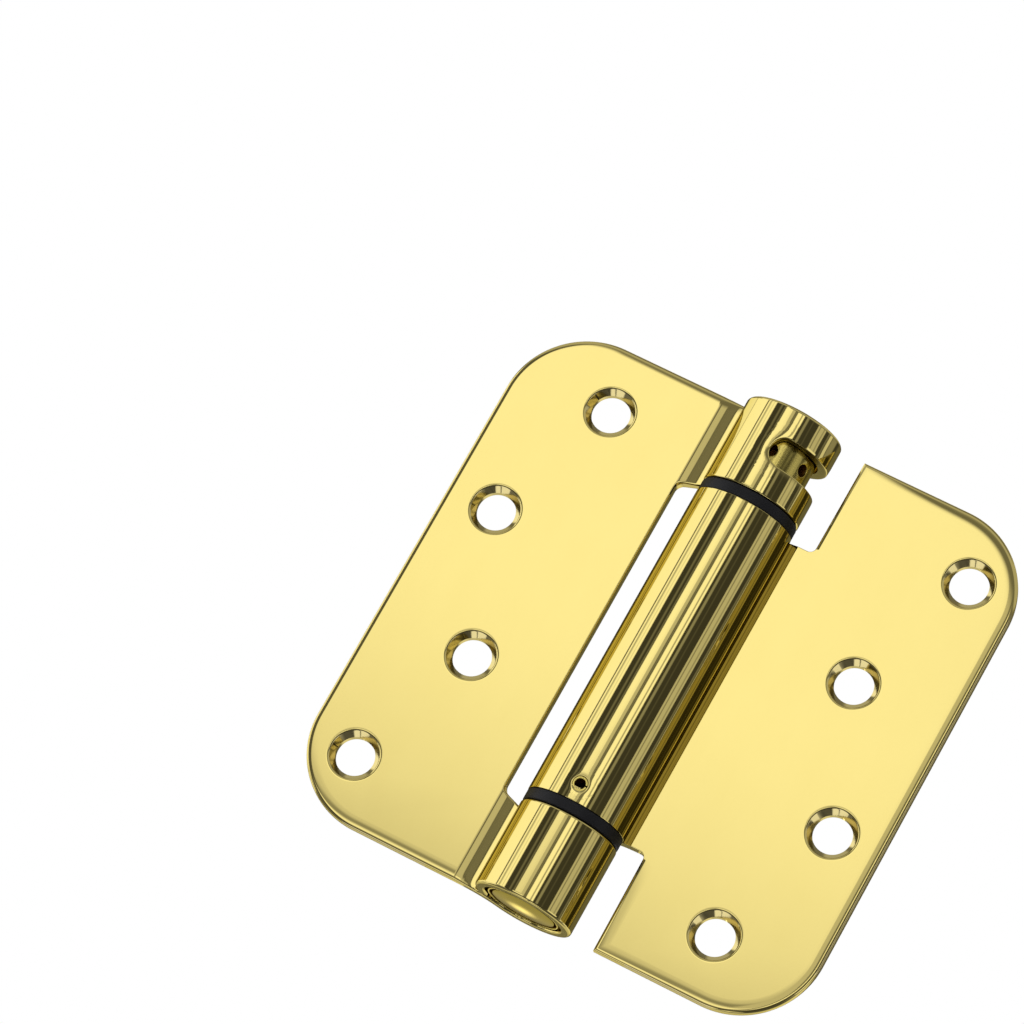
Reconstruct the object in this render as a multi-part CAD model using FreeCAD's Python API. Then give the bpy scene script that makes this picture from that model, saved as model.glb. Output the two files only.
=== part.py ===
import FreeCAD, Part
import math
import os

# Self-closing butt hinge, opened flat. Millimetres.
# Z is the pin axis with the adjusting end up, +X points to the door leaf, -Y is the side seen when the door
# is shut. The origin is on the pin axis at mid height.
V = FreeCAD.Vector

# Leaves
LEAF_HEIGHT = 101.6          # four inches along the pin
OPEN_WIDTH = 101.6           # four inches across both leaves, laid flat
CORNER_RADIUS = 15.875       # five eighths of an inch, outer corners
SHEET = 2.4                  # thickness of the sheet that leaves and knuckles are bent from
BARREL_RADIUS = 9.525        # outside of the curled knuckles, three quarters of an inch across
FACE_SETBACK = 2.5           # front faces of the leaves lie this far behind the pin axis
BEND_RADIUS = 10.0           # inside of the swage that carries the sheet round the back of the barrel
SEAM_GAP = 0.12              # left between the curl's end and the leaf it closes on
EDGE_ROUND = 0.6             # polished rounding of the leaves' outer edges and knuckle ends
SLOT_EDGE_X = 14.25          # edge of the jamb leaf's slot beside the centre barrel
SLOT_CORNER = 1.3            # inside corner radius of that slot
SLOT_PAST_BARREL = 1.05      # outer side of the slot past each end of the centre barrel
SLOT_FLARE = 1.5             # how much longer the slot is, at each end, where it meets the barrel
NOTCH_EDGE_X = 13.85         # edge of the door leaf's notches beside the end knuckles
NOTCH_CORNER = 1.2

# Screw holes, a zig-zag of four to a leaf
HOLE_INNER_X = 31.55
HOLE_OUTER_X = 41.1
HOLE_TOP_Z = 38.75
HOLE_MID_Z = 13.05
HOLE_RADIUS = 3.6
SINK_RADIUS = 5.0            # rim of the countersink on the front face
SINK_ANGLE = 82.0

# Barrel
CENTRE_HALF = 31.25          # half the length of the centre barrel
FLANGE = 2.25                # black bearing flange between centre barrel and end knuckle
RUN_GAP = 0.10               # end play between flange and end knuckle
BORE_CLEAR = 0.075           # radial clearance of what turns or is pushed into the barrel
KNUCKLE_CLEAR = 0.3          # round the turning barrel inside the jamb leaf's slot
RIM_ROUND = 0.3              # rounding of the knuckles' rims beside the bearing flanges

# Window in the top knuckle, through which the tension collar is turned and pinned
WINDOW_BELOW_TOP = 8.5       # middle of the window under the knuckle's end
WINDOW_HEIGHT = 5.6
WINDOW_START_X = 0.3         # rounded end of the window, just right of the front

# Tension collar
COLLAR_HOLES = 6
COLLAR_HOLE_RADIUS = 1.15
COLLAR_HOLE_DEPTH = 3.2
COLLAR_HOLE_RISE = 0.2       # ring of holes above the middle of the window
COLLAR_HOLE_TURN = -89.0     # azimuth of the hole that shows at the window's rounded end
HEAD_GAP = 0.5               # between each domed head and its retaining sleeve
HEAD_RECESS = 0.1            # head below the end of the knuckle
HEAD_DOME = 0.25
SLEEVE_WALL = 0.4
SLEEVE_LENGTH = 4.2
SLEEVE_RECESS = 0.3
SLEEVE_PLAY = 0.1
HEX_FLATS = 4.0
HEX_DEPTH = 7.0
UPPER_JOURNAL = 5.0
JOURNAL_CLEAR = 0.05
JOURNAL_PLAY = 0.35          # journal past the inner end of its bearing

# Bearings
FLANGE_RIM = 0.05            # flange inside the barrel's outside
FLANGE_ROUND = 0.2
UPPER_SLEEVE = 6.0
LOWER_SLEEVE = 7.2
LOWER_JOURNAL = 4.0
LOWER_WALL = 1.1             # wall of the lower bearing's sleeve

# Spring and what holds it
WIRE_RADIUS = 1.1
COIL_CLEAR = 0.625           # coil inside the barrel's bore
TANG_BEND = 1.6
TANG_REACH = 2.6             # tang past the axis
COIL_GAP = 0.4               # least gap between turns
TOP_TANG_DEPTH = 9.95        # upper tang below the top of the centre barrel
LOW_TANG_RISE = 15.95        # lower tang above its foot
NOSE_RADIUS = 3.3
TANG_SIDE_GAP = 0.15
NOSE_PAST_TANG = 2.4
ANCHOR_LENGTH = 11.7
PIN_RISE = 3.25              # pin above the foot of the centre barrel
PIN_TURN = -89.0
PIN_RADIUS = 1.4
PIN_BORE = 0.98
PIN_SLIT = 0.35
PIN_LENGTH = 3.4
PIN_RECESS = 0.12
PIN_CLEAR = 0.03

# Worked out from the sizes above
half_height = LEAF_HEIGHT / 2
half_width = OPEN_WIDTH / 2
bore = BARREL_RADIUS - SHEET
inner_fit = bore - BORE_CLEAR
knuckle_start = CENTRE_HALF + FLANGE + RUN_GAP
back_face = FACE_SETBACK + SHEET
bend_centre_y = back_face + BEND_RADIUS
bend_start_x = math.sqrt((BARREL_RADIUS + BEND_RADIUS) ** 2 - bend_centre_y ** 2)
sleeve_end = half_height - SLEEVE_RECESS
sleeve_start = sleeve_end - SLEEVE_LENGTH
shoulder = sleeve_start - SLEEVE_PLAY
head_end = half_height - HEAD_RECESS
head_radius = inner_fit - SLEEVE_WALL - HEAD_GAP
coil_radius = bore - COIL_CLEAR - WIRE_RADIUS
slot_half_height = CENTRE_HALF + SLOT_PAST_BARREL
window_z = half_height - WINDOW_BELOW_TOP
collar_hole_z = window_z + COLLAR_HOLE_RISE
pin_z = PIN_RISE - CENTRE_HALF
tang_z_top = CENTRE_HALF - TOP_TANG_DEPTH
tang_z_low = LOW_TANG_RISE - CENTRE_HALF


def polar(radius, degrees, z=0.0):
    turn = math.radians(degrees)
    return V(radius * math.cos(turn), radius * math.sin(turn), z)


def cylinder(radius, low, high):
    return Part.makeCylinder(radius, high - low, V(0, 0, low))


def tube(outer, inner, low, high):
    return cylinder(outer, low, high).cut(cylinder(inner, low, high))


def turned(profile):
    """A solid of revolution about the pin axis from radius and height pairs."""
    points = [V(r, 0, z) for r, z in profile]
    face = Part.Face(Part.makePolygon(points + points[:1]))
    return face.revolve(V(0, 0, 0), V(0, 0, 1), 360)


def curl_ends():
    """Azimuths where the curl leaves the swage and where its free end stops, a gap short of it."""
    front_bend = BEND_RADIUS + SHEET
    meet = math.degrees(math.atan2(bend_centre_y, -bend_start_x))
    reach = math.hypot(bend_start_x, bend_centre_y)
    cosine = (BARREL_RADIUS ** 2 + reach ** 2 - front_bend ** 2) / (2 * BARREL_RADIUS * reach)
    seam = meet + math.degrees(math.acos(cosine)) + math.degrees(SEAM_GAP / BARREL_RADIUS)
    return meet, seam - 360


def sheet_section():
    """The jamb leaf's section at z=0: flat leaf, swage round the back of the barrel, and curl."""
    centre = V(-bend_start_x, bend_centre_y, 0)
    meet, seam = curl_ends()
    front_bend = BEND_RADIUS + SHEET

    def on_bend(radius, fraction):
        start = -90.0
        stop = meet - 180.0
        turn = math.radians(start + (stop - start) * fraction)
        return centre + V(radius * math.cos(turn), radius * math.sin(turn), 0)

    curl_mid = (meet + seam) / 2
    outer_join = polar(BARREL_RADIUS, meet)
    inner_join = polar(bore, meet)
    far = -half_width
    edges = [
        Part.LineSegment(V(-bend_start_x, FACE_SETBACK, 0), V(far, FACE_SETBACK, 0)),
        Part.LineSegment(V(far, FACE_SETBACK, 0), V(far, back_face, 0)),
        Part.LineSegment(V(far, back_face, 0), V(-bend_start_x, back_face, 0)),
        Part.Arc(V(-bend_start_x, back_face, 0), on_bend(BEND_RADIUS, 0.5), outer_join),
        Part.Arc(outer_join, polar(BARREL_RADIUS, curl_mid), polar(BARREL_RADIUS, seam)),
        Part.LineSegment(polar(BARREL_RADIUS, seam), polar(bore, seam)),
        Part.Arc(polar(bore, seam), polar(bore, curl_mid), inner_join),
        Part.Arc(inner_join, on_bend(front_bend, 0.5), V(-bend_start_x, FACE_SETBACK, 0)),
    ]
    wire = Part.Wire([edge.toShape() for edge in edges])
    return Part.Face(wire)


def outline_tools():
    """What the press takes off the blank's outer corners."""
    tools = []
    depth = back_face + SHEET
    for end in (-1, 1):
        corner_x = -half_width + CORNER_RADIUS
        corner_z = end * (half_height - CORNER_RADIUS)
        square = Part.makeBox(CORNER_RADIUS + 1, depth, CORNER_RADIUS + 1,
                              V(-half_width - 1, 0, corner_z if end > 0 else corner_z - CORNER_RADIUS - 1))
        disc = Part.makeCylinder(CORNER_RADIUS, depth, V(corner_x, 0, corner_z), V(0, 1, 0))
        tools.append(square.cut(disc))
    return tools


def prism_xz(points, low_y, high_y):
    corners = [V(x, low_y, z) for x, z in points]
    face = Part.Face(Part.makePolygon(corners + corners[:1]))
    return face.extrude(V(0, high_y - low_y, 0))


def upright_edges(shape, places):
    """Edges along Y of a prism that pass through the given (x, z) places."""
    found = []
    for edge in shape.Edges:
        a, b = edge.Vertexes[0].Point, edge.Vertexes[-1].Point
        if abs(a.x - b.x) > 1e-6 or abs(a.z - b.z) > 1e-6:
            continue
        if any(abs(a.x - x) < 1e-6 and abs(a.z - z) < 1e-6 for x, z in places):
            found.append(edge)
    return found


def screw_holes(inner_signs):
    """Countersunk holes for the jamb side; inner_signs says which heights sit on the inner column."""
    sink_depth = (SINK_RADIUS - HOLE_RADIUS) / math.tan(math.radians(SINK_ANGLE / 2))
    overrun = 1.0
    wide = SINK_RADIUS + overrun * math.tan(math.radians(SINK_ANGLE / 2))
    tools = []
    for z, inner in zip((HOLE_TOP_Z, HOLE_MID_Z, -HOLE_MID_Z, -HOLE_TOP_Z), inner_signs):
        x = -(HOLE_INNER_X if inner else HOLE_OUTER_X)
        tools.append(Part.makeCylinder(HOLE_RADIUS, SHEET * 3, V(x, FACE_SETBACK - SHEET, z), V(0, 1, 0)))
        tools.append(Part.makeCone(wide, HOLE_RADIUS, sink_depth + overrun,
                                   V(x, FACE_SETBACK - overrun, z), V(0, 1, 0)))
    return tools


def outer_edges(leaf):
    """The long edges that run round a leaf's outside and on round the ends of its knuckles."""
    chosen = []
    for edge in leaf.Edges:
        points = edge.discretize(9)
        at_end = all(abs(abs(p.z) - half_height) < 1e-4 for p in points)
        at_side = all(abs(abs(p.x) - half_width) < 1e-4 for p in points)
        corner = all(outside_corner(p) for p in points)
        along_face = all(abs(p.y - points[0].y) < 1e-4 for p in points)
        on_face = along_face and min(abs(points[0].y - FACE_SETBACK), abs(points[0].y - back_face)) < 1e-4
        if edge.Length < SHEET + 0.01:
            continue
        if at_end or ((at_side or corner) and on_face):
            chosen.append(edge)
    return chosen


def outside_corner(p):
    dx = abs(p.x) - (half_width - CORNER_RADIUS)
    dz = abs(p.z) - (half_height - CORNER_RADIUS)
    return dx > -1e-3 and dz > -1e-3 and abs(math.hypot(dx, dz) - CORNER_RADIUS) < 1e-3


def jamb_leaf():
    """Left leaf with the two end knuckles."""
    leaf = sheet_section().extrude(V(0, 0, LEAF_HEIGHT))
    leaf.translate(V(0, 0, -half_height))
    leaf = leaf.cut(outline_tools())
    leaf = leaf.makeFillet(EDGE_ROUND, outer_edges(leaf))

    # the slot beside the centre barrel, flared towards it, then the room that the barrel turns in
    clear = BARREL_RADIUS + KNUCKLE_CLEAR
    flare_x = -BARREL_RADIUS
    near = slot_half_height + SLOT_FLARE
    past = 2 * BARREL_RADIUS
    corners = [(-SLOT_EDGE_X, -slot_half_height), (flare_x, -near), (past, -near), (past, near),
               (flare_x, near), (-SLOT_EDGE_X, slot_half_height)]
    slot = prism_xz(corners, -past, past)
    slot = slot.makeFillet(SLOT_CORNER, upright_edges(slot, [corners[0], corners[-1]]))
    slot = slot.cut(cylinder(clear, -LEAF_HEIGHT, LEAF_HEIGHT))
    leaf = leaf.cut([slot, cylinder(clear, -knuckle_start, knuckle_start)])
    leaf = leaf.cut([rim_cutter(1), rim_cutter(-1)])

    # the window for the tension pin
    radius = WINDOW_HEIGHT / 2
    centre_x = WINDOW_START_X + radius
    end = Part.makeCylinder(radius, 2 * past, V(centre_x, -past, window_z), V(0, 1, 0))
    run = Part.makeBox(past, 2 * past, WINDOW_HEIGHT, V(centre_x, -past, window_z - radius))
    leaf = leaf.cut([end.fuse(run)])
    return leaf.cut(screw_holes((True, False, True, False)))


def rim_cutter(end):
    """What rounding takes off the curl's outer corner where an end knuckle meets its bearing flange."""
    meet, seam = curl_ends()
    inside = BARREL_RADIUS - RIM_ROUND
    outside = BARREL_RADIUS + RIM_ROUND
    low = knuckle_start - RIM_ROUND
    high = knuckle_start + RIM_ROUND
    slant = RIM_ROUND * (1 - math.sqrt(0.5))
    start = V(inside, 0, knuckle_start)
    stop = V(BARREL_RADIUS, 0, high)
    corner = Part.Arc(start, V(BARREL_RADIUS - slant, 0, knuckle_start + slant), stop).toShape()
    rest = Part.makePolygon([stop, V(outside, 0, high), V(outside, 0, low), V(inside, 0, low), start])
    ring = Part.Face(Part.Wire([corner] + rest.Edges)).revolve(V(0, 0, 0), V(0, 0, 1), meet - seam)
    ring.rotate(V(0, 0, 0), V(0, 0, 1), seam)
    if end < 0:
        ring = ring.mirror(V(0, 0, 0), V(0, 0, 1))
    return ring


def door_leaf():
    """Right leaf with the centre barrel: the same section turned over end for end."""
    leaf = sheet_section().extrude(V(0, 0, LEAF_HEIGHT))
    leaf.translate(V(0, 0, -half_height))
    leaf = leaf.cut(outline_tools())
    past = 2 * BARREL_RADIUS
    for end in (-1, 1):
        low = end * CENTRE_HALF
        high = end * (half_height + SHEET)
        corners = [(-NOTCH_EDGE_X, low), (past, low), (past, high), (-NOTCH_EDGE_X, high)]
        notch = prism_xz(corners, -past, past)
        leaf = leaf.cut([notch.makeFillet(NOTCH_CORNER, upright_edges(notch, [corners[0]]))])
    leaf = leaf.makeFillet(EDGE_ROUND, outer_edges(leaf))
    rims = [e for e in leaf.Edges
            if all(abs(abs(p.z) - CENTRE_HALF) < 1e-4 and abs(math.hypot(p.x, p.y) - BARREL_RADIUS) < 1e-4
                   for p in e.discretize(5))]
    leaf = leaf.makeFillet(RIM_ROUND, rims)
    leaf = leaf.cut(screw_holes((False, True, False, True)))
    leaf = leaf.mirror(V(0, 0, 0), V(1, 0, 0))
    return leaf.cut([pin_bore()])


def pin_bore():
    """Radial hole for the anchor pin, through the barrel wall and into the spring anchor."""
    outward = polar(1, PIN_TURN)
    start = polar(BARREL_RADIUS - PIN_RECESS - PIN_LENGTH, PIN_TURN, pin_z)
    return Part.makeCylinder(PIN_RADIUS + PIN_CLEAR, 2 * PIN_LENGTH, start, outward)


def anchor_pin():
    """Rolled spring pin with an open slit."""
    outward = polar(1, PIN_TURN)
    start = polar(BARREL_RADIUS - PIN_RECESS - PIN_LENGTH, PIN_TURN, pin_z)
    rolled = Part.makeCylinder(PIN_RADIUS, PIN_LENGTH, start, outward)
    rolled = rolled.cut(Part.makeCylinder(PIN_BORE, PIN_LENGTH, start, outward))
    slit = Part.makeBox(PIN_RADIUS * 2, PIN_LENGTH * 2, PIN_SLIT,
                        V(start.x - PIN_RADIUS * 2, start.y - PIN_LENGTH * 1.5, pin_z - PIN_SLIT / 2))
    return rolled.cut(slit)


def upper_bearing():
    rim = BARREL_RADIUS - FLANGE_RIM
    low = CENTRE_HALF - UPPER_SLEEVE
    high = CENTRE_HALF + FLANGE
    hole = UPPER_JOURNAL + JOURNAL_CLEAR
    body = turned([(hole, low), (inner_fit, low), (inner_fit, CENTRE_HALF), (rim, CENTRE_HALF),
                   (rim, high), (hole, high)])
    return round_rims(body, rim, FLANGE_ROUND)


def lower_bearing():
    rim = BARREL_RADIUS - FLANGE_RIM
    low = -CENTRE_HALF - FLANGE
    high = -CENTRE_HALF + LOWER_SLEEVE
    hole = LOWER_JOURNAL + JOURNAL_CLEAR
    wall = hole + LOWER_WALL
    body = turned([(hole, low), (rim, low), (rim, -CENTRE_HALF), (wall, -CENTRE_HALF), (wall, high),
                   (hole, high)])
    return round_rims(body, rim, FLANGE_ROUND)


def round_rims(shape, radius, size):
    rims = [e for e in shape.Edges
            if all(abs(math.hypot(p.x, p.y) - radius) < 1e-4 and abs(p.z - e.Vertexes[0].Z) < 1e-4
                   for p in e.discretize(5))]
    return shape.makeFillet(size, rims)


def domed_head(end):
    """The round head that shows at a knuckle's end: crowned a little, with a turned edge."""
    low = shoulder - 0.5
    crown_start = head_end - HEAD_DOME
    sphere_radius = (head_radius ** 2 + HEAD_DOME ** 2) / (2 * HEAD_DOME)
    ball = Part.makeSphere(sphere_radius, V(0, 0, head_end - sphere_radius))
    post = cylinder(head_radius, low, crown_start)
    cap = cylinder(head_radius, crown_start, head_end).common(ball)
    head = post.fuse(cap)
    if end < 0:
        head.rotate(V(0, 0, 0), V(1, 0, 0), 180)
    return head


def tang_slot(low, high):
    """A saw cut across the end of a nose, along X, that the spring's tang lies in."""
    width = 2 * (WIRE_RADIUS + TANG_SIDE_GAP)
    length = 2 * (NOSE_RADIUS + 1)
    return Part.makeBox(length, width, high - low, V(-length / 2, -width / 2, low))


def tension_collar():
    """Turned collar: drilled ring at the window, hex socket above, journal and slotted nose below."""
    journal_end = CENTRE_HALF - UPPER_SLEEVE - JOURNAL_PLAY
    nose_end = tang_z_top - NOSE_PAST_TANG
    collar = cylinder(inner_fit, knuckle_start, shoulder)
    collar = collar.fuse([cylinder(UPPER_JOURNAL, journal_end, knuckle_start),
                          cylinder(NOSE_RADIUS, nose_end, journal_end), domed_head(1)])
    collar = collar.removeSplitter()
    cuts = [tang_slot(nose_end - 1, tang_z_top + WIRE_RADIUS + TANG_SIDE_GAP)]
    for number in range(COLLAR_HOLES):
        turn = COLLAR_HOLE_TURN + number * 360 / COLLAR_HOLES
        start = polar(inner_fit - COLLAR_HOLE_DEPTH, turn, collar_hole_z)
        cuts.append(Part.makeCylinder(COLLAR_HOLE_RADIUS, COLLAR_HOLE_DEPTH * 2, start, polar(1, turn)))
    across = HEX_FLATS / math.sqrt(3)
    hexagon = [polar(across, 60 * k + 30, head_end + 1) for k in range(6)]
    socket = Part.Face(Part.makePolygon(hexagon + hexagon[:1])).extrude(V(0, 0, -HEX_DEPTH - 1))
    cuts.append(socket)
    return collar.cut(cuts)


def pivot_plug():
    """Bottom pivot: body in the lower knuckle, journal up into the lower bearing."""
    journal_end = -CENTRE_HALF + LOWER_SLEEVE + JOURNAL_PLAY
    plug = cylinder(inner_fit, -shoulder, -knuckle_start)
    plug = plug.fuse([cylinder(LOWER_JOURNAL, -knuckle_start, journal_end), domed_head(-1)])
    return plug.removeSplitter()


def retaining_sleeve(end):
    sleeve = tube(inner_fit, inner_fit - SLEEVE_WALL, sleeve_start, sleeve_end)
    if end < 0:
        sleeve.rotate(V(0, 0, 0), V(1, 0, 0), 180)
    return sleeve


def spring_anchor():
    """Plug pinned in the foot of the centre barrel: bored for the lower bearing, slotted for the spring."""
    low = -CENTRE_HALF
    high = low + ANCHOR_LENGTH
    nose_end = tang_z_low + NOSE_PAST_TANG
    seat = LOWER_JOURNAL + JOURNAL_CLEAR + LOWER_WALL + BORE_CLEAR
    anchor = cylinder(inner_fit, low, high).fuse(cylinder(NOSE_RADIUS, high, nose_end))
    bored = cylinder(seat, low - 1, low + LOWER_SLEEVE + 2 * JOURNAL_PLAY)
    slot = tang_slot(tang_z_low - WIRE_RADIUS - TANG_SIDE_GAP, nose_end + 1)
    return anchor.cut([bored, slot, pin_bore()])


def torsion_spring():
    """Left-hand coil of round wire; each end turns in to a straight tang across the axis."""
    lead_in = math.degrees(math.asin(TANG_BEND / (coil_radius - TANG_BEND)))
    rise = tang_z_top - tang_z_low
    turns = math.floor(rise / (2 * WIRE_RADIUS + COIL_GAP)) - 2 * lead_in / 360
    coil = Part.makeLongHelix(rise / turns, rise, coil_radius, 0, True)
    coil.rotate(V(0, 0, 0), V(0, 0, 1), -lead_in)
    coil.translate(V(0, 0, tang_z_low))
    start = coil.Edges[0].valueAt(coil.Edges[0].FirstParameter)
    heading = coil.Edges[0].tangentAt(coil.Edges[0].FirstParameter)
    ring = Part.Wire(Part.makeCircle(WIRE_RADIUS, start, heading))
    spring = Part.Wire(coil).makePipeShell([ring], True, False)
    return spring.fuse([tang(tang_z_low, lead_in, 1), tang(tang_z_top, lead_in, -1)])


def tang(z, lead_in, side):
    """Quarter bend and straight leg; side turns the lower one over to make the upper one."""
    pivot_radius = coil_radius - TANG_BEND
    centre = V(pivot_radius * math.cos(math.radians(lead_in)), -TANG_BEND, 0)
    first = polar(coil_radius, -lead_in)
    last = V(centre.x, 0, 0)
    outward = first - centre
    start_turn = math.degrees(math.atan2(outward.y, outward.x))
    middle = math.radians((start_turn + 90) / 2)
    arc_mid = centre + V(TANG_BEND * math.cos(middle), TANG_BEND * math.sin(middle), 0)
    path = Part.Wire([Part.Arc(first, arc_mid, last).toShape(),
                      Part.LineSegment(last, V(-TANG_REACH, 0, 0)).toShape()])
    heading = V(-outward.y, outward.x, 0)
    ring = Part.Wire(Part.makeCircle(WIRE_RADIUS, first, heading))
    leg = path.makePipeShell([ring], True, False)
    leg = leg.fuse(Part.makeSphere(WIRE_RADIUS, first))
    if side < 0:
        leg.rotate(V(0, 0, 0), V(1, 0, 0), 180)
    leg.translate(V(0, 0, z))
    return leg


pieces = {
    "jamb_leaf": jamb_leaf,
    "door_leaf": door_leaf,
    "tension_collar": tension_collar,
    "upper_bearing": upper_bearing,
    "lower_bearing": lower_bearing,
    "torsion_spring": torsion_spring,
    "spring_anchor": spring_anchor,
    "anchor_pin": anchor_pin,
    "pivot_plug": pivot_plug,
    "upper_sleeve": lambda: retaining_sleeve(1),
    "lower_sleeve": lambda: retaining_sleeve(-1),
}

os.makedirs("parts", exist_ok=True)
for name, make in pieces.items():
    shape = make()
    print(name, "solids", len(shape.Solids), "valid", shape.isValid(), "volume", round(shape.Volume, 2))
    shape.exportStep("parts/" + name + ".step")
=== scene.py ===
import bpy
import bmesh
import math
from mathutils import Matrix, Vector


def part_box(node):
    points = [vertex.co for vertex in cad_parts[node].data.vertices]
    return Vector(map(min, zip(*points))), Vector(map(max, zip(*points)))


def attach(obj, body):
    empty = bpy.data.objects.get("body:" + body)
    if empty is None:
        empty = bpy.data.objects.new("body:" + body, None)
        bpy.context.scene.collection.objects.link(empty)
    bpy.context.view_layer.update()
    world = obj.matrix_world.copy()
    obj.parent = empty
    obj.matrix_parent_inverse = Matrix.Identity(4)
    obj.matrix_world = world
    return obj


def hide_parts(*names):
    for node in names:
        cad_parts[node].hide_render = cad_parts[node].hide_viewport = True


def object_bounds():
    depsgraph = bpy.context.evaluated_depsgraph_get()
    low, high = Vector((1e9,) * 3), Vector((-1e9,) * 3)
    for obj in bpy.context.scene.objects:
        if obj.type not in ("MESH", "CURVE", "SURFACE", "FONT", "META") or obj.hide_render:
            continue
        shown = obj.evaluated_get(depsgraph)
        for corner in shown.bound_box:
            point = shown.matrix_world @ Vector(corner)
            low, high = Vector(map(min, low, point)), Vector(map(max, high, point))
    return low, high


# Self-closing hinge in polished brass, opened flat. Sizes below are in millimetres.
# Z is the pin axis, X runs to the door leaf, -Y is the polished front.
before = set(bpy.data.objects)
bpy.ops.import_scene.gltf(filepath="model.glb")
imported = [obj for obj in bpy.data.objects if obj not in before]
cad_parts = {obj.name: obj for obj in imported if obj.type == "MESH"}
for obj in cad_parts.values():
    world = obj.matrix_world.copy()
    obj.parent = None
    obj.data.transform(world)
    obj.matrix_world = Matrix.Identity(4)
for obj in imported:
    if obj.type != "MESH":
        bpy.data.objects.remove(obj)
cadLow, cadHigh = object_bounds()
mm = 0.001
upright = Matrix.Rotation(math.pi / 2, 3, "X")


def boxMm(node):
    low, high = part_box(node)
    return low / mm, high / mm


jambLow, jambHigh = boxMm("jamb_leaf")
collarLow, collarHigh = boxMm("tension_collar")
plugLow, plugHigh = boxMm("pivot_plug")
sleeveLow, sleeveHigh = boxMm("upper_sleeve")
upperHigh = boxMm("upper_bearing")[1]
lowerLow = boxMm("lower_bearing")[0]
endPlay = 0.1                # clearance along the pin
print("frame loaded")


# Finishes

def feed(tree, sockets, *values):
    # a number or colour is set on its socket, and an output is linked to it
    for socket, value in zip(sockets, values):
        if isinstance(value, (int, float, tuple)):
            socket.default_value = value
        else:
            tree.links.new(value, socket)


def newNode(tree, kind, **values):
    node = tree.nodes.new("ShaderNode" + kind)
    feed(tree, [node.inputs[name] for name in values], *values.values())
    return node


def mathNode(tree, operation, *values, kind="Math", clamp=False):
    node = newNode(tree, kind)
    node.operation = operation
    if clamp:
        node.use_clamp = True
    feed(tree, node.inputs, *values)
    return node.outputs[0]


def timesNode(tree, first, *others):
    for other in others:
        first = mathNode(tree, "MULTIPLY", first, other)
    return first


def fadeNode(tree, value, start, end, low=0.0, high=1.0):
    # 'low' at start, 'high' at end, smooth between; the direction may run either way
    fade = newNode(tree, "MapRange")
    fade.interpolation_type = "SMOOTHSTEP"
    feed(tree, fade.inputs, value, start, end, low, high)
    return fade.outputs[0]


def mixColour(tree, share, first, second):
    node = newNode(tree, "Mix")
    node.data_type = "RGBA"
    colours = ((*value, 1) if isinstance(value, tuple) else value for value in (first, second))
    # the node's other sockets are for mixing numbers and vectors
    feed(tree, (node.inputs[0], node.inputs[6], node.inputs[7]), share, *colours)
    return node.outputs[2]


def mixValue(tree, share, first, second):
    change = mathNode(tree, "SUBTRACT", second, first)
    return mathNode(tree, "ADD", timesNode(tree, change, share), first)


def splitNode(tree, vector):
    return newNode(tree, "SeparateXYZ", Vector=vector).outputs


def millimetres(tree, vector):
    place = splitNode(tree, vector)
    return {axis: timesNode(tree, place[axis], 1 / mm) for axis in "XYZ"}


def axisDistance(tree, place):
    squares = [timesNode(tree, place[axis], place[axis]) for axis in "XY"]
    return mathNode(tree, "SQRT", mathNode(tree, "ADD", *squares))


def newGroup(name, vectors, numbers, results):
    group = bpy.data.node_groups.new(name, "ShaderNodeTree")
    for labels, side, kind in ((vectors, "INPUT", "Vector"), (numbers, "INPUT", "Float"),
                               (results, "OUTPUT", "Float")):
        for label in labels:
            group.interface.new_socket(label, in_out=side, socket_type="NodeSocket" + kind)
    given = group.nodes.new("NodeGroupInput").outputs
    return group, given, group.nodes.new("NodeGroupOutput").inputs


def makeMarks(name, kinds):
    # noise in cycles a millimetre, each kind with its own stretch along the three axes
    stretches = [stretch for stretch, detail in kinds.values()]
    group, given, result = newGroup(name, ["Vector", *stretches], [], kinds)
    for mark, (stretch, detail) in kinds.items():
        place = mathNode(group, "MULTIPLY", given["Vector"], given[stretch], kind="VectorMath")
        noise = newNode(group, "TexNoise", Vector=place, Scale=1 / mm, Detail=detail)
        group.links.new(noise.outputs["Fac"], result[mark])
    return group


def makeLathe():
    # rings that a turning tool leaves, on faces and round the sides alike
    group, given, result = newGroup("latheRings", ["Vector"], ["Fineness"], ["Rings"])
    place = splitNode(group, given["Vector"])
    along = mathNode(group, "ADD", axisDistance(group, place), place["Z"])
    along = timesNode(group, along, given["Fineness"])
    noise = newNode(group, "TexNoise", Scale=1 / mm, Detail=2)
    noise.noise_dimensions = "1D"
    group.links.new(along, noise.inputs["W"])
    group.links.new(noise.outputs["Fac"], result["Rings"])
    return group


def makeHollow():
    # 1 inside a cylinder round the Z axis, between two heights, all in millimetres; it marks where
    # bores, holes and grooves are darkened with painted shade
    group, given, result = newGroup("hollow", ["Vector"], ["Radius", "Low", "High", "Soft"],
                                    ["Mask"])
    place = millimetres(group, given["Vector"])
    radius, height = axisDistance(group, place), place["Z"]
    shares = []
    for more, less in ((given["Radius"], radius), (height, given["Low"]), (given["High"], height)):
        room = mathNode(group, "SUBTRACT", more, less)
        shares.append(mathNode(group, "DIVIDE", room, given["Soft"], clamp=True))
    group.links.new(timesNode(group, *shares), result["Mask"])
    return group


# how squarely a face must look along an axis: where the mask starts and where it is full
squareness = {"cutStart": 0.95, "cutFull": 0.995, "slantStart": 0.9, "slantFull": 0.75}


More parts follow.
